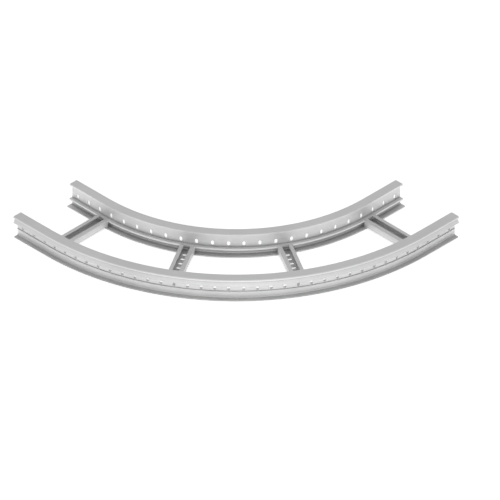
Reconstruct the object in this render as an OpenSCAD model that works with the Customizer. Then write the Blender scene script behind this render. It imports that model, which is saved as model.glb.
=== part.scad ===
// Horizontal cable ladder bend: two bent side rails of one extruded section,
// joined by four slotted channel rungs that open upwards.
// Millimetres. The ladder lies flat with +Z up; the bend is symmetric about X = 0,
// and its centre of curvature lies towards +Y.

/* [Bend] */
// Angle that the ladder turns through, degrees
bend_angle = 90; // [60:5:90]
// Radius of the ladder's centre line
bend_radius = 882.5; // [700:0.5:1200]
// Clear width between the inner faces of the two webs
ladder_width = 300; // [240:1:400]
// Straight length at each end of the bend
leg_length = 180; // [120:1:300]

/* [Side rail] */
// Height of the side rail
rail_height = 104; // [96:1:130]
// Thickness of the web
web_thickness = 4; // [3:0.5:6]
// Radius where the web meets a flange
web_fillet = 5; // [2:0.5:8]

/* [Top flange] */
// Thickness of the top flange
top_thickness = 5; // [4:0.5:5.5]
// Reach of the top flange over the ladder, from the web's inner face
top_inner_reach = 14.5; // [12:0.5:20]
// Reach of the top flange to the outside, from the web's outer face
top_outer_reach = 25; // [20:0.5:32]
// Outside radius of the quarter round that turns the top flange's outer edge down
top_edge_radius = 8; // [6.5:0.5:9]
// Depth of the blunt nose along the top flange's inner edge
top_nose_depth = 9; // [8:0.5:14]
// Width of that nose
top_nose_width = 6; // [5:0.5:8]
// Corner radius of that nose
top_nose_radius = 2; // [0.5:0.25:2.5]

/* [Hanging lip] */
// Depth of the lip's lower edge below the rail's top
lip_depth = 33; // [30:0.5:38]
// Thickness of the lip, measured level
lip_thickness = 4; // [3:0.5:6]
// Distance that the lip's lower edge is set in from the flange's outer edge
lip_inset = 1; // [0:0.25:3]
// Depth of the cover groove's lower edge below the rail's top, where the lip starts to slope outwards
groove_depth = 13; // [11:0.5:17]
// Distance that the groove is set in from the flange's outer edge
groove_inset = 9; // [8.5:0.5:12]

/* [Rung rib] */
// Reach of the rib that the rungs butt against, from the web's inner face; its top is level with theirs
rib_reach = 16; // [12:0.5:20]
// Thickness of the rib
rib_thickness = 8; // [6:0.5:12]
// Corner radius of the rib's blunt nose
rib_nose_radius = 0.5; // [0.5:0.25:2.5]

/* [Drip ledge] */
// Reach of the ledge along the web's outer face
ledge_reach = 3.5; // [2:0.5:6]
// Height of the ledge's flat top above the rail's underside
ledge_level = 36; // [32:0.5:38]
// Thickness of the ledge at its tip
ledge_tip = 1.5; // [1:0.25:3]
// Thickness of the ledge where it leaves the web
ledge_root = 6; // [4:0.5:8]

/* [Bottom flange] */
// Thickness of the bottom flange
foot_thickness = 5; // [4:0.5:7]
// Reach of the bottom flange under the ladder, from the web's inner face
foot_inner_reach = 29; // [24:0.5:36]
// Reach of the bottom flange to the outside, from the web's outer face
foot_outer_reach = 20; // [16:0.5:30]
// Corner radius of the bottom flange's tips
foot_tip_radius = 1.75; // [0.5:0.25:1.75]

/* [Web slots] */
// Width of a web slot
slot_width = 11.5; // [9:0.5:14]
// Height of a web slot
slot_height = 21; // [16:0.5:24]
// Height of the slots' centres above the rail's underside
slot_level = 50; // [48:0.5:56]
// Spacing of the slots along a straight end
slot_pitch = 60.5; // [40:0.5:80]
// Number of slots round the outer rail's curve
outer_curve_slots = 30; // [10:2:36]
// Number of slots round the inner rail's curve
inner_curve_slots = 18; // [6:2:24]

/* [Rungs] */
// Width of a rung
rung_width = 61; // [44:1:70]
// Height of a rung
rung_height = 30; // [25:0.5:34]
// Wall thickness of a rung
rung_wall = 2.5; // [2:0.25:3.5]
// Width of the gap between a rung's two lips
rung_opening = 27; // [16:1:32]
// Outside corner radius of a rung
rung_corner = 4; // [4:0.25:6]
// Distance of an end rung's middle from the end of the curve
end_rung_inset = 4.5; // [0:0.5:40]
// Gap between a rung's end and the rail that it is welded to
weld_gap = 0.3; // [0.1:0.1:0.8]

/* [Tie slots] */
// Length of a tie slot, across the rung
tie_slot_length = 26; // [16:1:32]
// Width of a tie slot, along the rung
tie_slot_width = 11; // [7:0.5:14]
// Spacing of the tie slots along the rung
tie_slot_pitch = 30.5; // [24:0.5:40]

/* [Hidden] */
$fn = 180;

// Small overlap that joins or clears neighbouring shapes
join = 1;

half_angle = bend_angle / 2;

// The rungs divide the bend evenly between the two end rungs
end_rung_angle = half_angle - end_rung_inset / bend_radius * 180 / PI;
mid_rung_angle = end_rung_angle / 3;

// Radii of the two webs' inner faces, and of the outermost and innermost rail edges
inner_face = bend_radius - ladder_width / 2;
outer_face = bend_radius + ladder_width / 2;
outer_reach = web_thickness + max(top_outer_reach, foot_outer_reach);
outermost = outer_face + outer_reach;
innermost = inner_face - outer_reach;

// Moves the centre of curvature so that the part's box is centred on the origin
centre_y = (outermost + innermost * cos(half_angle) - leg_length * sin(half_angle)) / 2;

// The rungs stand on the bottom flange, and the rib is level with their tops
rung_bottom = foot_thickness;
rung_top = rung_bottom + rung_height;
rib_bottom = rung_top - rib_thickness;
rung_end = rib_reach + weld_gap;

// Slots on each straight end, and tie slots that fit between the rails in pairs
leg_slots = floor(leg_length / slot_pitch + 0.5);
tie_slot_pairs = floor((ladder_width - 2 * rung_end - tie_slot_width) / tie_slot_pitch / 2);

rail_colour = [0.78, 0.79, 0.80];
rung_colour = [0.72, 0.73, 0.74];

// Concave fillet in the corner between the +X and +Y axes
module corner_fillet(radius) {
    difference() {
        translate([-join, -join])
            square(radius + join);
        translate([radius, radius])
            circle(radius);
    }
}

// Rectangle with round corners, centred on x = 0 and standing on y = 0
module round_box(width, height, radius) {
    translate([-width / 2, radius])
        square([width, height - 2 * radius]);
    translate([radius - width / 2, 0])
        square([width - 2 * radius, height]);
    for (x = [radius - width / 2, width / 2 - radius], y = [radius, height - radius])
        translate([x, y])
            circle(radius);
}

// Slot centred on the origin, its length along y
module slot_outline(width, length) {
    square([width, length - width], center = true);
    for (end = [-1, 1])
        translate([0, end * (length - width) / 2])
            circle(d = width);
}

// Top flange: a flat strip with a blunt nose inside and a quarter round outside
module top_flange() {
    bend_x = top_edge_radius - web_thickness - top_outer_reach;
    translate([bend_x, rail_height - top_thickness])
        square([top_inner_reach - top_nose_radius - bend_x, top_thickness]);
    translate([top_inner_reach - top_nose_width / 2, rail_height - top_nose_depth])
        round_box(top_nose_width, top_nose_depth, top_nose_radius);
    translate([bend_x, rail_height - top_edge_radius])
        difference() {
            circle(top_edge_radius);
            circle(top_edge_radius - top_thickness);
            translate([0, -top_edge_radius])
                square(2 * top_edge_radius);
            translate([-top_edge_radius, -top_edge_radius])
                square([2 * top_edge_radius, top_edge_radius]);
        }
}

// Lip that hangs from the top flange behind the cover groove and slopes outwards to a round lower end
module hanging_lip() {
    outer_edge = -web_thickness - top_outer_reach;
    neck_face = outer_edge + groove_inset;
    neck_top = rail_height - top_thickness + join;
    groove_level = rail_height - groove_depth;
    lip_face = outer_edge + lip_inset;
    lip_end = rail_height - lip_depth + lip_thickness / 2;
    polygon([
        [neck_face, neck_top],
        [neck_face, groove_level],
        [lip_face, lip_end],
        [lip_face + lip_thickness, lip_end],
        [neck_face + lip_thickness, groove_level],
        [neck_face + lip_thickness, neck_top],
    ]);
    translate([lip_face + lip_thickness / 2, lip_end])
        circle(d = lip_thickness);
}

// Bottom flange, one round-cornered strip that passes under the web
module bottom_flange() {
    width = foot_inner_reach + web_thickness + foot_outer_reach;
    translate([foot_inner_reach - width / 2, 0])
        round_box(width, foot_thickness, foot_tip_radius);
}

// Rib on the ladder side of the web, with a blunt nose
module rung_rib() {
    translate([-join, rib_bottom])
        square([rib_reach - rib_nose_radius + join, rib_thickness]);
    translate([rib_reach - rib_thickness / 2, rib_bottom])
        round_box(rib_thickness, rib_thickness, rib_nose_radius);
}

// Ledge on the outside of the web, flat on top and sloping back below
module drip_ledge() {
    ledge_edge = -web_thickness - ledge_reach;
    polygon([
        [join - web_thickness, ledge_level],
        [ledge_edge, ledge_level],
        [ledge_edge, ledge_level - ledge_tip],
        [-web_thickness, ledge_level - ledge_root],
        [join - web_thickness, ledge_level - ledge_root],
    ]);
}

// Fillets where the web runs into the flanges, on both of its faces
module web_fillets() {
    top_level = rail_height - top_thickness;
    translate([0, top_level])
        mirror([0, 1])
            corner_fillet(web_fillet);
    translate([-web_thickness, top_level])
        rotate(180)
            corner_fillet(web_fillet);
    translate([0, foot_thickness])
        corner_fillet(web_fillet);
    translate([-web_thickness, foot_thickness])
        mirror([1, 0])
            corner_fillet(web_fillet);
}

// Section of a side rail: x runs from the web's inner face over the ladder, y is up
module rail_section() {
    translate([-web_thickness, join])
        square([web_thickness, rail_height - 2 * join]);
    top_flange();
    hanging_lip();
    bottom_flange();
    rung_rib();
    drip_ledge();
    web_fillets();
}

// What a rung is cut back from: everything up to a weld's gap past the rib's nose
module rung_clearance_section() {
    translate([-outer_reach, -join])
        square([outer_reach + rung_end, rail_height + 2 * join]);
}

module at_inner_rail() {
    translate([inner_face, 0])
        children();
}

module at_outer_rail() {
    translate([outer_face, 0])
        mirror([1, 0])
            children();
}

// Carries a section round the curve and along both straight ends
module along_bend() {
    rotate(-90 - half_angle)
        rotate_extrude(angle = bend_angle)
            children();
    for (side = [0, 1])
        mirror([side, 0, 0])
            rotate(half_angle - 90)
                translate([0, leg_length, 0])
                    rotate([90, 0, 0])
                        linear_extrude(leg_length)
                            children();
}

// Cutter for one web slot, running along +X through a web at the given radius
module web_slot(radius) {
    cut = 2 * (web_thickness + join);
    translate([radius - cut / 2, 0, slot_level])
        rotate([90, 0, 90])
            linear_extrude(cut)
                slot_outline(slot_width, slot_height);
}

// One slot at a distance along the rail from the bend's middle, on the curve or past it
module web_slot_at(radius, distance) {
    curve = radius * half_angle * PI / 180;
    on_curve = min(distance, curve);
    rotate(on_curve / curve * half_angle - 90)
        translate([0, distance - on_curve, 0])
            web_slot(radius);
}

// All the slots of one rail: half a pitch from the ends and from the middle, and evenly between
module web_slots(radius, curve_slots) {
    rail_end = radius * half_angle * PI / 180 + leg_length;
    first_on_leg = rail_end - (leg_slots - 0.5) * slot_pitch;
    steps = curve_slots / 2;
    slot_step = (first_on_leg - slot_pitch / 2) / steps;
    for (side = [0, 1])
        mirror([side, 0, 0]) {
            for (i = [0 : steps - 1])
                web_slot_at(radius, slot_pitch / 2 + i * slot_step);
            for (i = [0 : leg_slots - 1])
                web_slot_at(radius, first_on_leg + i * slot_pitch);
        }
}

module outer_rail() {
    color(rail_colour)
        translate([0, centre_y, 0])
            difference() {
                along_bend()
                    at_outer_rail()
                        rail_section();
                web_slots(outer_face + web_thickness / 2, outer_curve_slots);
            }
}

module inner_rail() {
    color(rail_colour)
        translate([0, centre_y, 0])
            difference() {
                along_bend()
                    at_inner_rail()
                        rail_section();
                web_slots(inner_face - web_thickness / 2, inner_curve_slots);
            }
}

// Section of a rung: a lipped channel that opens upwards
module rung_section() {
    difference() {
        round_box(rung_width, rung_height, rung_corner);
        translate([0, rung_wall])
            round_box(rung_width - 2 * rung_wall, rung_height - 2 * rung_wall, rung_corner - rung_wall);
        translate([-rung_opening / 2, rung_height / 2])
            square([rung_opening, rung_height]);
    }
}

// Cutters for a rung's tie slots, in pairs about the ladder's centre line at x = 0
module tie_slots() {
    for (side = [-1, 1], i = [1 : tie_slot_pairs])
        translate([side * (i - 0.5) * tie_slot_pitch, 0, -join])
            linear_extrude(rung_wall + 2 * join)
                slot_outline(tie_slot_width, tie_slot_length);
}

// Rung at an angle from the bend's middle, cut to the rails, with a row of tie slots
module rung(angle) {
    color(rung_colour)
        translate([0, centre_y, 0])
            difference() {
                rotate(angle - 90)
                    translate([bend_radius, 0, rung_bottom])
                        difference() {
                            translate([-ladder_width / 2, 0, 0])
                                rotate([90, 0, 90])
                                    linear_extrude(ladder_width)
                                        rung_section();
                            tie_slots();
                        }
                along_bend()
                    at_inner_rail()
                        rung_clearance_section();
                along_bend()
                    at_outer_rail()
                        rung_clearance_section();
            }
}

module rung_left_end() {
    rung(-end_rung_angle);
}

module rung_left_mid() {
    rung(-mid_rung_angle);
}

module rung_right_mid() {
    rung(mid_rung_angle);
}

module rung_right_end() {
    rung(end_rung_angle);
}

outer_rail();
inner_rail();
rung_left_end();
rung_left_mid();
rung_right_mid();
rung_right_end();
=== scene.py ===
# %% [markdown]
# # A cable ladder bend in mill-finish aluminium
#
# This lesson dresses a cable ladder bend: two bent side rails of one extruded section, and four channel
# rungs that are welded between them. The construction is already there as fixed solids, so Blender adds
# what the solids leave out: the finish of the metal, the weld beads at the rungs' ends, the light, the
# floor and the camera.

# %% Load the frame
import math

import bpy
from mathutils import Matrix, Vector


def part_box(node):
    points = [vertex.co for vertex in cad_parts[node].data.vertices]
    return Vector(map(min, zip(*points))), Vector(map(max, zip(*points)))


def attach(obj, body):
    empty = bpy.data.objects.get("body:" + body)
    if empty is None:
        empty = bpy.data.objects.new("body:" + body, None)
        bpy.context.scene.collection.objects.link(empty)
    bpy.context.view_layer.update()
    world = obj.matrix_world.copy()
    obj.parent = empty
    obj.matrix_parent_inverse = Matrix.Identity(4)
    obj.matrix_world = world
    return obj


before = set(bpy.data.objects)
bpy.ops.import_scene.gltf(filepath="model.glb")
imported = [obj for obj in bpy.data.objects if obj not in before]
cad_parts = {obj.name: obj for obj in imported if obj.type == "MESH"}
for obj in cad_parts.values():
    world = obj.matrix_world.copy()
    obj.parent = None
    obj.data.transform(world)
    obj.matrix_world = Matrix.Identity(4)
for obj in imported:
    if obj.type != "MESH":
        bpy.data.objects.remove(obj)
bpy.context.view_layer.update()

scene = bpy.context.scene
print("nodes:", sorted(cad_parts))

# %% [markdown]
# ## The camera
#
# The picture to match is a true isometric view: upright edges stay upright, and the two straight ends of
# the bend run off at 30 degrees. A perspective camera from far away could come close, but an orthographic
# one is exact. It stands in front of the outer rail and looks down at the isometric elevation. One point
# fixes its aim: the spot on the floor below the outer rail's outermost edge, halfway round the bend.

# %% Where the camera aims
ISOMETRIC_ELEVATION = math.atan(math.sqrt(0.5))
IMAGE_SIDE = 500
PIXELS_PER_METRE = 254.0
AIM_PIXEL = (236.2, 302.24)


def isometric_axes():
    """Unit vectors towards the camera and up the picture, for a camera that looks along +Y."""
    sine, cosine = math.sin(ISOMETRIC_ELEVATION), math.cos(ISOMETRIC_ELEVATION)
    return Vector((0.0, -cosine, sine)), Vector((0.0, sine, cosine))


towards_camera, picture_up = isometric_axes()
aim_point = Vector((0.0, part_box("outer_rail")[0][1], 0.0))
picture_centre = aim_point.copy()
picture_centre.x += (IMAGE_SIDE / 2 - AIM_PIXEL[0]) / PIXELS_PER_METRE
picture_centre -= picture_up * (IMAGE_SIDE / 2 - AIM_PIXEL[1]) / PIXELS_PER_METRE
print("the picture's centre is at", [round(v, 4) for v in picture_centre])

# %% Camera
CAMERA_DISTANCE = 6.0
CAMERA_DEPTH = 24.0

camera_data = bpy.data.cameras.new("isometric_camera")
camera_data.type = "ORTHO"
camera_data.ortho_scale = IMAGE_SIDE / PIXELS_PER_METRE
camera_data.clip_end = CAMERA_DEPTH
camera = bpy.data.objects.new("isometric_camera", camera_data)
camera.location = picture_centre + towards_camera * CAMERA_DISTANCE
camera.rotation_euler = (math.pi / 2 - ISOMETRIC_ELEVATION, 0.0, 0.0)
scene.collection.objects.link(camera)
scene.camera = camera
print("the camera sees", round(camera_data.ortho_scale, 3), "m")

# %% [markdown]
# ## Where the extrusions run
#
# Mill-finish aluminium keeps the fine lines that the die drew along it. A pattern for them has to stay
# constant along the metal and change across it. A UV map could carry that, but the solids have none, so
# the distance across is worked out from Object coordinates. Three helpers keep the node trees short: one
# splits a vector, one does a sum, and one puts two values together.

# %% Helpers for shader nodes
def split_axes(tree, vector):
    """The X, Y and Z of a vector, as sockets to pick by name."""
    node = tree.nodes.new("ShaderNodeSeparateXYZ")
    tree.links.new(vector, node.inputs[0])
    return node.outputs


def math_node(tree, operation, first, second=None):
    """One Math node; a socket is linked and a number is set."""
    node = tree.nodes.new("ShaderNodeMath")
    node.operation = operation
    for socket, value in zip(node.inputs, (first, second)):
        if isinstance(value, bpy.types.NodeSocket):
            tree.links.new(value, socket)
        elif value is not None:
            socket.default_value = value
    return node.outputs[0]


def combined(tree, x, y):
    """A vector of two linked values."""
    node = tree.nodes.new("ShaderNodeCombineXYZ")
    tree.links.new(x, node.inputs["X"])
    tree.links.new(y, node.inputs["Y"])
    return node.outputs[0]


print("made helpers that split, reckon and combine")

# %% [markdown]
# On the curve of a rail, "across" is the distance from the centre of curvature. On a straight end it is
# the distance from the line through that centre that runs the same way as the end. The two agree at 45
# degrees, where the straight ends start, so a switch there picks the right one. Both halves of the bend
# are alike, so the distance sideways is taken without its sign. The centre follows from three sizes of the
# construction: the radius of the ladder's centre line, the clear width between the webs, and how far the
# outer rail reaches out from there.

# %% The section of a rail
CENTRE_LINE_RADIUS = 0.8825
CLEAR_WIDTH = 0.300
RAIL_OUTER_REACH = 0.029
bend_centre_y = aim_point.y + CENTRE_LINE_RADIUS + CLEAR_WIDTH / 2 + RAIL_OUTER_REACH


def rail_section(tree, place):
    """Distance across a bent rail and height, from Object coordinates."""
    axes = split_axes(tree, place)
    sideways = math_node(tree, "ABSOLUTE", axes["X"])
    forwards = math_node(tree, "SUBTRACT", bend_centre_y, axes["Y"])
    radius = tree.nodes.new("ShaderNodeVectorMath")
    radius.operation = "LENGTH"
    tree.links.new(combined(tree, sideways, forwards), radius.inputs[0])
    both_ways = math_node(tree, "ADD", sideways, forwards)
    switch = tree.nodes.new("ShaderNodeMix")
    tree.links.new(math_node(tree, "GREATER_THAN", sideways, forwards), switch.inputs["Factor"])
    tree.links.new(radius.outputs["Value"], switch.inputs["A"])
    tree.links.new(math_node(tree, "MULTIPLY", both_ways, math.sqrt(0.5)), switch.inputs["B"])
    return combined(tree, switch.outputs["Result"], axes["Z"])


print("centre of curvature at y =", round(bend_centre_y, 4), "m")

# %% [markdown]
# A rung is straight, so there it is enough to turn the coordinates to its angle. The four rungs divide the
# bend evenly, and the middles of the end rungs sit a little in from the ends of the curve.

# %% The section of a rung
HALF_BEND = 45.0
END_RUNG_INSET = 0.0045
end_rung_angle = HALF_BEND - math.degrees(END_RUNG_INSET / CENTRE_LINE_RADIUS)
rung_angles = {
    "rung_left_end": -end_rung_angle,
    "rung_left_mid": -end_rung_angle / 3,
    "rung_right_mid": end_rung_angle / 3,
    "rung_right_end": end_rung_angle,
}


def rung_section(angle):
    """A function that gives distance across a rung at that angle, and height."""
    def section(tree, place):
        turn = tree.nodes.new("ShaderNodeMapping")
        turn.inputs["Rotation"].default_value = (0.0, 0.0, -math.radians(angle))
        tree.links.new(place, turn.inputs["Vector"])
        axes = split_axes(tree, turn.outputs[0])
        return combined(tree, axes["X"], axes["Z"])
    return section


print("rungs at", [round(angle, 2) for angle in rung_angles.values()], "degrees")

# %% [markdown]
# ## Mill-finish aluminium
#
# The bare metal mirrors its surroundings softly. A flat grey would look like plastic, and a photographed
# texture would repeat, so the shader is fully metallic and quite rough, and noise breaks it up. Three
# helpers serve every pattern: one makes a noise, one stretches a value to the range that a socket needs,
# and one turns a noise into greys. Only the middle range of a noise is used, because its ends are rare.

# %% Noise helpers
NOISE_RANGE = (0.3, 0.7)
CLOUD_DETAIL = 3.0
LINE_DETAIL = 2.0


def noise(tree, place, scale, detail):
    node = tree.nodes.new("ShaderNodeTexNoise")
    node.inputs["Scale"].default_value = scale
    node.inputs["Detail"].default_value = detail
    tree.links.new(place, node.inputs["Vector"])
    return node.outputs["Fac"]


def remapped(tree, value, source, target):
    """A value stretched from one range to another, and held at its ends."""
    node = tree.nodes.new("ShaderNodeMapRange")
    for name, limit in zip(("From Min", "From Max", "To Min", "To Max"), source + target):
        node.inputs[name].default_value = limit
    tree.links.new(value, node.inputs["Value"])
    return node.outputs["Result"]


def grey(tone):
    return (tone, tone, tone, 1.0)


def grey_ramp(tree, value, tones):
    """A noise turned into greys, from one tone to another."""
    node = tree.nodes.new("ShaderNodeValToRGB")
    for stop, position, tone in zip(node.color_ramp.elements, NOISE_RANGE, tones):
        stop.position = position
        stop.color = grey(tone)
    tree.links.new(value, node.inputs["Fac"])
    return node.outputs["Color"]


print("noise is used from", NOISE_RANGE[0], "to", NOISE_RANGE[1])

# %% [markdown]
# In the picture a thin bright line runs along the rails' top edges. It is partly a painted highlight, a
# lighter grey there, and partly real polish, as on metal that is rubbed there, which goes to the roughness.
# A mask could be painted for it, but a range of heights finds it too: the lower half of the rounded edge.
# The blunt nose along the flange's other edge lies at the same heights and brightens with it, and so does
# some metal under the flange, where it hardly shows. On a rung nothing is that high.

# %% A band along the top edges
EDGE_BOTTOM = (0.0955, 0.0975)
EDGE_TOP = (0.0990, 0.1005)


def edge_band(tree, place, elsewhere, on_the_edge):
    """One value along the top edges, fading to a lower one elsewhere."""
    height = split_axes(tree, place)["Z"]
    rise = remapped(tree, height, EDGE_BOTTOM, (elsewhere, on_the_edge))
    fall = remapped(tree, height, EDGE_TOP, (on_the_edge, elsewhere))
    return math_node(tree, "MINIMUM", rise, fall)


print("top edges from", EDGE_BOTTOM[0], "to", EDGE_TOP[1], "m")

# %% [markdown]
# In the picture the inside corners are darker than the light alone makes them, so shade is painted into
# their grey. A mask could be painted for them too, but an Ambient Occlusion node finds them by itself, on
# every piece.
# The outer rail's bottom flange, which its top flange shades, gets painted shade as well. Its material
# takes a foot share below 1 there, by height, and a share of 1 leaves a foot without painted shade.

# %% Painted shade in corners and on the outer foot
CORNER_REACH = 0.025
CORNER_SAMPLES = 8
# painted shade: the share of the grey that is left in a shut corner
CORNER_SHADE_TONE = 0.45
CORNER_SHUT, CORNER_OPEN = 0.35, 0.7
FOOT_HEIGHTS = (0.0055, 0.0085)


def painted_shade_share(tree, place, foot_share):
    """How much of the tone is left under the painted shade, in a corner and at the foot."""
    corners = tree.nodes.new("ShaderNodeAmbientOcclusion")
    corners.samples = CORNER_SAMPLES
    corners.inputs["Distance"].default_value = CORNER_REACH
    # painted shade: the grey darkens where the occlusion finds a corner
    corner_shade = remapped(tree, corners.outputs["AO"], (CORNER_SHUT, CORNER_OPEN), (CORNER_SHADE_TONE, 1.0))
    # painted shade: the grey darkens below these heights on a foot whose share is below 1
    foot_shade = remapped(tree, split_axes(tree, place)["Z"], FOOT_HEIGHTS, (foot_share, 1.0))
    return math_node(tree, "MULTIPLY", corner_shade, foot_shade)


print("corners are dulled within", CORNER_REACH, "m")

# %% [markdown]
# The grey itself changes in two ways: a slow cloud stands for handling, and faint streaks run along the
# metal, where the die drew it a little brighter or duller. One noise couldn't do both, because the cloud
# goes by the place and the streaks by the section. The painted highlight on the edges and the painted shade
# in corners and at the foot then scale it.

# %% Tone of the metal
CLOUD_SCALE = 7.0
CLOUD_SHARES = (0.96, 1.02)
STREAK_SCALE = 420.0
STREAK_SHARES = (0.96, 1.03)
# painted highlight: the grey is this much lighter along the top edges
EDGE_HIGHLIGHT_SHARE = 1.12


def cloudy_grey(tree, place, tone):
    cloud = noise(tree, place, CLOUD_SCALE, CLOUD_DETAIL)
    return grey_ramp(tree, cloud, [tone * share for share in CLOUD_SHARES])


def toned_metal(tree, place, across, tone, foot_share):
    """The grey of a place on the metal, with its streaks, its painted edge highlight, and its painted shade
    in corners and at the foot.
    """
    share = remapped(tree, noise(tree, across, STREAK_SCALE, LINE_DETAIL), NOISE_RANGE, STREAK_SHARES)
    # painted shade in corners and at the foot, and a painted highlight along the top edges
    for other in (painted_shade_share(tree, place, foot_share), edge_band(tree, place, 1.0, EDGE_HIGHLIGHT_SHARE)):
        share = math_node(tree, "MULTIPLY", share, other)
    toned = tree.nodes.new("ShaderNodeVectorMath")
    toned.operation = "SCALE"
    tree.links.new(cloudy_grey(tree, place, tone), toned.inputs[0])
    tree.links.new(share, toned.inputs["Scale"])
    return toned.outputs[0]


print("streaks of", STREAK_SHARES[0], "to", STREAK_SHARES[1], "of the tone")

# %% [markdown]
# The polish has two parts: the die leaves bands that are slightly rougher or smoother, and the rubbed edges
# are smoother. Both go to the roughness and not to the grey, because they change only how sharply the
# metal mirrors.

# %% Polish of the metal
BAND_SCALE = 110.0
BAND_DEPTH = 0.05
EDGE_POLISH = 0.06


def banded_polish(tree, place, across, roughness):
    bands = remapped(tree, noise(tree, across, BAND_SCALE, LINE_DETAIL), NOISE_RANGE,
                     (roughness - BAND_DEPTH, roughness + BAND_DEPTH))
    return math_node(tree, "SUBTRACT", bands, edge_band(tree, place, 0.0, EDGE_POLISH))


print("bands of polish +/-", BAND_DEPTH, "and edges", EDGE_POLISH, "smoother")

# %% [markdown]
# The finest mark of the die is a set of lines. As real grooves they would make a very heavy mesh, so they
# go to a bump. They stay faint, because the metal in the picture looks even.

# %% The mill finish
DIE_LINE_SCALE = 900.0
DIE_LINE_DEPTH = 0.0003
DIE_LINE_STRENGTH = 0.4


def bare_metal(name):
    """A new fully metallic material, with its tree, its shader and its Object coordinates."""
    material = bpy.data.materials.new(name)
    material.use_nodes = True
    tree = material.node_tree
    shader = tree.nodes["Principled BSDF"]
    shader.inputs["Metallic"].default_value = 1.0
    return material, tree, shader, tree.nodes.new("ShaderNodeTexCoord").outputs["Object"]


def mill_finish(name, section, tone, roughness, foot_share=1.0):
    """Extruded aluminium of a grey tone, with its lines along the given section."""
    material, tree, shader, place = bare_metal(name + "_mill_finish")
    across = section(tree, place)
    tree.links.new(toned_metal(tree, place, across, tone, foot_share), shader.inputs["Base Color"])
    tree.links.new(banded_polish(tree, place, across, roughness), shader.inputs["Roughness"])
    lines = tree.nodes.new("ShaderNodeBump")
    lines.inputs["Strength"].default_value = DIE_LINE_STRENGTH
    lines.inputs["Distance"].default_value = DIE_LINE_DEPTH
    tree.links.new(noise(tree, across, DIE_LINE_SCALE, LINE_DETAIL), lines.inputs["Height"])
    tree.links.new(lines.outputs["Normal"], shader.inputs["Normal"])
    return material


print("die lines", DIE_LINE_DEPTH, "m deep, at a strength of", DIE_LINE_STRENGTH)

# %% [markdown]
# Now the pieces get their metal. One material could serve all of them, but the lines of each rung run
# their own way and only the outer rail has painted shade on its foot, so each piece has a material of its
# own.

# %% Metal for each piece
RAIL_TONE, RAIL_ROUGHNESS = 0.81, 0.67
RUNG_TONE, RUNG_ROUGHNESS = 0.80, 0.72
# painted shade on the outer rail's bottom flange, which its top flange shades
SHADED_FOOT_SHARE = 0.8

metals = {
    "outer_rail": mill_finish("outer_rail", rail_section, RAIL_TONE, RAIL_ROUGHNESS, SHADED_FOOT_SHARE),
    "inner_rail": mill_finish("inner_rail", rail_section, RAIL_TONE, RAIL_ROUGHNESS),
}
for name, angle in rung_angles.items():
    metals[name] = mill_finish(name, rung_section(angle), RUNG_TONE, RUNG_ROUGHNESS)
for name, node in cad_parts.items():
    node.data.materials.clear()
    node.data.materials.append(metals[name])
print("finished", len(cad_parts), "nodes with", len(metals), "materials")

# %% [markdown]
# ## The weld beads
#
# Such a rung is welded at both ends: along each lip and round its corner at the rib's nose, and along the
# foot of each wall on the bottom flange. A weld is a row of small drops that froze one over the other.
# Modelling each drop by hand would take a day, and a plain tube would have no ripple, so a Geometry Nodes
# tree sets a flattened drop at every step of a path. Here are the paths first, as bare edges. A place is
# given by the turn round the bend, the radius and the height, because the noses that the beads follow are
# arcs. A path along a lip is a few places of its own, each some way aside of the rung's middle.

# %% Paths of the welds
RIB_REACH = 0.016
WELD_GAP = 0.0003
weld_from_centre_line = CLEAR_WIDTH / 2 - RIB_REACH - WELD_GAP / 2
LIP_BEAD = ((0.0145, 0.0342), (0.0262, 0.0342), (0.0292, 0.0330), (0.0304, 0.0305), (0.0304, 0.0275))
FOOT_BEAD_ASIDE, FOOT_BEAD_HEIGHT = 0.0294, 0.0062
FOOT_BEAD_REACH = (0.001, 0.0115)


def bend_point(angle, radius, aside, height):
    """A point at a radius, some way aside of a rung's middle along the arc."""
    turn = math.radians(angle) + aside / radius
    return (radius * math.sin(turn), bend_centre_y - radius * math.cos(turn), height)


def rung_end_paths(angle, radius, inwards):
    """The four paths at one end of a rung; inwards is 1 if its middle lies at a larger radius, or -1."""
    paths = []
    for side in (-1, 1):
        paths.append([bend_point(angle, radius, side * aside, height) for aside, height in LIP_BEAD])
        paths.append([bend_point(angle, radius + inwards * reach, side * FOOT_BEAD_ASIDE, FOOT_BEAD_HEIGHT)
                      for reach in FOOT_BEAD_REACH])
    return paths


weld_paths = []
for angle in rung_angles.values():
    for inwards in (1, -1):
        weld_paths += rung_end_paths(angle, CENTRE_LINE_RADIUS - inwards * weld_from_centre_line, inwards)
print(len(weld_paths), "weld paths")

# %% [markdown]
# The metal of a bead froze without being drawn through a die. It has no lines, only a fine mottling, and
# it is a little duller than the rails. The rungs' metal could be used again, but its lines would run
# straight through the drops.

# %% Weld metal
WELD_MOTTLING_SCALE = 400.0
WELD_TONES = (0.62, 0.76)
WELD_ROUGHNESS = (0.5, 0.7)


def weld_metal():
    material, tree, shader, place = bare_metal("weld_metal")
    mottling = noise(tree, place, WELD_MOTTLING_SCALE, CLOUD_DETAIL)
    tree.links.new(grey_ramp(tree, mottling, WELD_TONES), shader.inputs["Base Color"])
    tree.links.new(remapped(tree, mottling, NOISE_RANGE, WELD_ROUGHNESS), shader.inputs["Roughness"])
    return material


weld_material = weld_metal()
print("made", weld_material.name)

# %% [markdown]
# The bead tree has three parts. The first turns the edges into curves and marks a point at each step. A
# loop in Python could do that too, but the tree needs only two nodes for it. The step, the drop's radius
# and the seed are named inputs, so a heavier weld needs no change in the tree.

# %% Inputs and steps of the bead tree
BEAD_INPUTS = {
    "Paths": "NodeSocketGeometry",
    "Step": "NodeSocketFloat",
    "Drop Radius": "NodeSocketFloat",
    "Seed": "NodeSocketInt",
}


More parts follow.
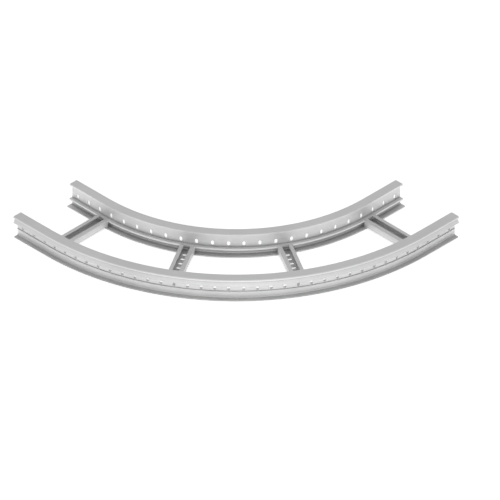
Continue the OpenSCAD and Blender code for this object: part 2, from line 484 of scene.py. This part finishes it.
def empty_bead_tree():
    """A tree with its named inputs and its output, ready to be linked."""
    tree = bpy.data.node_groups.new("weld_bead", "GeometryNodeTree")
    for name, kind in BEAD_INPUTS.items():
        tree.interface.new_socket(name, in_out="INPUT", socket_type=kind)
    tree.interface.new_socket("Beads", in_out="OUTPUT", socket_type="NodeSocketGeometry")
    return tree, tree.nodes.new("NodeGroupInput").outputs, tree.nodes.new("NodeGroupOutput").inputs


def path_steps(tree, given):
    """Points at even steps along the paths."""
    curve = tree.nodes.new("GeometryNodeMeshToCurve")
    tree.links.new(given["Paths"], curve.inputs["Mesh"])
    steps = tree.nodes.new("GeometryNodeResampleCurve")
    steps.mode = "LENGTH"
    tree.links.new(curve.outputs["Curve"], steps.inputs["Curve"])
    tree.links.new(given["Step"], steps.inputs["Length"])
    return steps.outputs["Curve"]


print("bead tree inputs:", ", ".join(BEAD_INPUTS))

# %% [markdown]
# The second part puts a ball on each point, squashed along the path and a little varied in size. The ball
# has only a few dozen faces, because it comes hundreds of times, and smooth shading rounds it.

# %% Drops of the bead tree
DROP_SEGMENTS, DROP_RINGS = 10, 5
SMALLEST_DROP = (0.65, 0.90, 0.90)
LARGEST_DROP = (0.80, 1.05, 1.05)


def drops_on(tree, given, points):
    """A drop on each point, turned along the path."""
    ball = tree.nodes.new("GeometryNodeMeshUVSphere")
    ball.inputs["Segments"].default_value = DROP_SEGMENTS
    ball.inputs["Rings"].default_value = DROP_RINGS
    tree.links.new(given["Drop Radius"], ball.inputs["Radius"])
    size = tree.nodes.new("FunctionNodeRandomValue")
    size.data_type = "FLOAT_VECTOR"
    size.inputs["Min"].default_value = SMALLEST_DROP
    size.inputs["Max"].default_value = LARGEST_DROP
    tree.links.new(given["Seed"], size.inputs["Seed"])
    turn = tree.nodes.new("FunctionNodeAlignRotationToVector")
    turn.axis = "X"
    tree.links.new(tree.nodes.new("GeometryNodeInputTangent").outputs["Tangent"], turn.inputs["Vector"])
    drops = tree.nodes.new("GeometryNodeInstanceOnPoints")
    tree.links.new(points, drops.inputs["Points"])
    tree.links.new(ball.outputs["Mesh"], drops.inputs["Instance"])
    tree.links.new(turn.outputs["Rotation"], drops.inputs["Rotation"])
    tree.links.new(size.outputs["Value"], drops.inputs["Scale"])
    return drops.outputs["Instances"]


print("drops of", DROP_SEGMENTS, "segments and", DROP_RINGS, "rings")

# %% [markdown]
# The last part shades the drops smooth, makes them real and gives them their metal. Without the step that
# makes them real they would stay copies that only the tree knows, and an export would lose them.

# %% The whole bead tree
def bead_tree(material):
    tree, given, result = empty_bead_tree()
    smooth = tree.nodes.new("GeometryNodeSetShadeSmooth")
    tree.links.new(drops_on(tree, given, path_steps(tree, given)), smooth.inputs["Geometry"])
    real = tree.nodes.new("GeometryNodeRealizeInstances")
    tree.links.new(smooth.outputs["Geometry"], real.inputs["Geometry"])
    finish = tree.nodes.new("GeometryNodeSetMaterial")
    finish.inputs["Material"].default_value = material
    tree.links.new(real.outputs["Geometry"], finish.inputs["Geometry"])
    tree.links.new(finish.outputs["Geometry"], result["Beads"])
    return tree


bead_nodes = bead_tree(weld_material)
print("bead tree of", len(bead_nodes.nodes), "nodes")

# %% [markdown]
# The tree runs once. The modifier could stay, but a plain mesh travels with the part like any other piece,
# so the result is copied into one and the modifier goes. The beads hang on the root body.

# %% The beads as a plain mesh
BEAD_STEP = 0.0012
BEAD_DROP_RADIUS = 0.0024
BEAD_SEED = 7


def edge_mesh(name, paths):
    points, edges = [], []
    for path in paths:
        first = len(points)
        points += path
        edges += [(i, i + 1) for i in range(first, len(points) - 1)]
    mesh = bpy.data.meshes.new(name)
    mesh.from_pydata(points, edges, [])
    return mesh


def set_inputs(modifier, values):
    """Sets a Geometry Nodes modifier's inputs by identifier, which it looks up by name."""
    for item in modifier.node_group.interface.items_tree:
        if item.name in values:
            modifier[item.identifier] = values[item.name]


beads = bpy.data.objects.new("weld_beads", edge_mesh("weld_paths", weld_paths))
scene.collection.objects.link(beads)
modifier = beads.modifiers.new("weld_bead", "NODES")
modifier.node_group = bead_nodes
set_inputs(modifier, {"Step": BEAD_STEP, "Drop Radius": BEAD_DROP_RADIUS, "Seed": BEAD_SEED})
evaluated = beads.evaluated_get(bpy.context.evaluated_depsgraph_get())
bead_mesh = bpy.data.meshes.new_from_object(evaluated)
beads.modifiers.remove(modifier)
beads.data = bead_mesh
bead_mesh.name = "weld_beads"
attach(beads, "root")
print("weld beads:", len(bead_mesh.polygons), "faces")

# %% [markdown]
# ## The floor
#
# The picture has a plain white ground with only a thin contact shadow. A white floor under more light would
# bleach the metal too, so the floor glows by itself, for the rays that show it: the camera's and the ones
# that the metal mirrors. On top of the glow it takes light like paper. In the open the sum is white; close
# under the rails the paper part goes dark and leaves the shadow. Every other ray meets plain pale paper.

# %% Floor
FLOOR_SIZE = 14.0
FLOOR_DROP = 0.0005
FLOOR_GLOW = 0.57
FLOOR_PAPER = 0.9


def chosen(tree, factor, at_zero, at_one):
    """One shader where the factor is 0, and another where it is 1."""
    node = tree.nodes.new("ShaderNodeMixShader")
    for socket, value in zip(node.inputs, (factor, at_zero, at_one)):
        tree.links.new(value, socket)
    return node.outputs[0]


def floor_material():
    material = bpy.data.materials.new("white_ground")
    material.use_nodes = True
    tree = material.node_tree
    tree.nodes.clear()
    paper = tree.nodes.new("ShaderNodeBsdfDiffuse")
    paper.inputs["Color"].default_value = grey(FLOOR_PAPER)
    glow = tree.nodes.new("ShaderNodeEmission")
    glow.inputs["Strength"].default_value = FLOOR_GLOW
    lit = tree.nodes.new("ShaderNodeAddShader")
    tree.links.new(paper.outputs[0], lit.inputs[0])
    tree.links.new(glow.outputs[0], lit.inputs[1])
    rays = tree.nodes.new("ShaderNodeLightPath").outputs
    mirrored = math_node(tree, "MAXIMUM", rays["Is Glossy Ray"], rays["Is Transmission Ray"])
    shown = math_node(tree, "MAXIMUM", rays["Is Camera Ray"], mirrored)
    output = tree.nodes.new("ShaderNodeOutputMaterial")
    tree.links.new(chosen(tree, shown, paper.outputs[0], lit.outputs[0]), output.inputs["Surface"])
    return material


def floor_plane():
    half = FLOOR_SIZE / 2
    corners = ((-half, -half), (half, -half), (half, half), (-half, half))
    mesh = bpy.data.meshes.new("floor")
    mesh.from_pydata([(x, y, -FLOOR_DROP) for x, y in corners], [], [(0, 1, 2, 3)])
    mesh.materials.append(floor_material())
    plane = bpy.data.objects.new("floor", mesh)
    scene.collection.objects.link(plane)
    return plane


floor = floor_plane()
print("floor", FLOOR_SIZE, "m square")

# %% [markdown]
# ## The light
#
# The rails' tops are a middle grey and their upright faces are brighter. That is what metal does under a
# dim sky on a white ground: seen from above, a top mirrors the sky behind the bend and an upright face
# mirrors the ground. Several lamps could be balanced to give this, but one background does it evenly. It
# changes slowly from front to back, and trials showed that a dimmer front also darkens the recesses, as in
# the picture. A bright band along the horizon, like the walls of a white room, keeps the upright faces even
# right up to the top flange.

# %% Sky
SKY_FRONT, SKY_BACK = 0.50, 0.63
SKY_CHANGE = (-0.8, 0.8)
HORIZON_GLOW = 0.9
HORIZON_TOP = 0.45


def studio_world():
    world = bpy.data.worlds.new("studio")
    world.use_nodes = True
    tree = world.node_tree
    sky = tree.nodes["Background"]
    white = tree.nodes.new("ShaderNodeBackground")
    for background in (sky, white):
        background.inputs["Color"].default_value = grey(1.0)
    axes = split_axes(tree, tree.nodes.new("ShaderNodeTexCoord").outputs["Generated"])
    overhead = remapped(tree, axes["Y"], SKY_CHANGE, (SKY_FRONT, SKY_BACK))
    horizon = remapped(tree, axes["Z"], (0.0, HORIZON_TOP), (HORIZON_GLOW, 0.0))
    tree.links.new(math_node(tree, "MAXIMUM", overhead, horizon), sky.inputs["Strength"])
    seen = tree.nodes.new("ShaderNodeLightPath").outputs["Is Camera Ray"]
    backdrop = chosen(tree, seen, sky.outputs[0], white.outputs[0])
    tree.links.new(backdrop, tree.nodes["World Output"].inputs["Surface"])
    return world


scene.world = studio_world()
print("sky", SKY_FRONT, "in front,", SKY_BACK, "behind and", HORIZON_GLOW, "at the horizon")

# %% [markdown]
# The bright line along the rails' top edges also needs something to mirror. A glow in the metal would shine
# from every side, but a soft lamp in front lights the line only where the round mirrors it towards the
# camera: the camera looks down at 35 degrees, and the lamp stands about as high, so the line lies on the
# part of the round that faces both.

# %% Lamp
LAMP_ELEVATION = 36.0
LAMP_DISTANCE = 5.0
LAMP_SIZE = 1.0
LAMP_WATTS = 46.0

lamp_data = bpy.data.lights.new("front_softbox", "AREA")
lamp_data.shape = "DISK"
lamp_data.size = LAMP_SIZE
lamp_data.energy = LAMP_WATTS
lamp = bpy.data.objects.new("front_softbox", lamp_data)
lamp_tilt = math.radians(90.0 - LAMP_ELEVATION)
lamp.location = Vector((0.0, -math.sin(lamp_tilt), math.cos(lamp_tilt))) * LAMP_DISTANCE
lamp.rotation_euler = (lamp_tilt, 0.0, 0.0)
scene.collection.objects.link(lamp)
print("a lamp of", LAMP_WATTS, "W at", LAMP_ELEVATION, "degrees")

# %% [markdown]
# ## Finish
#
# The view transform is Standard. A film look would be kinder to strong lights, but its curve would bend
# the greys that were matched.

scene.view_settings.view_transform = "Standard"
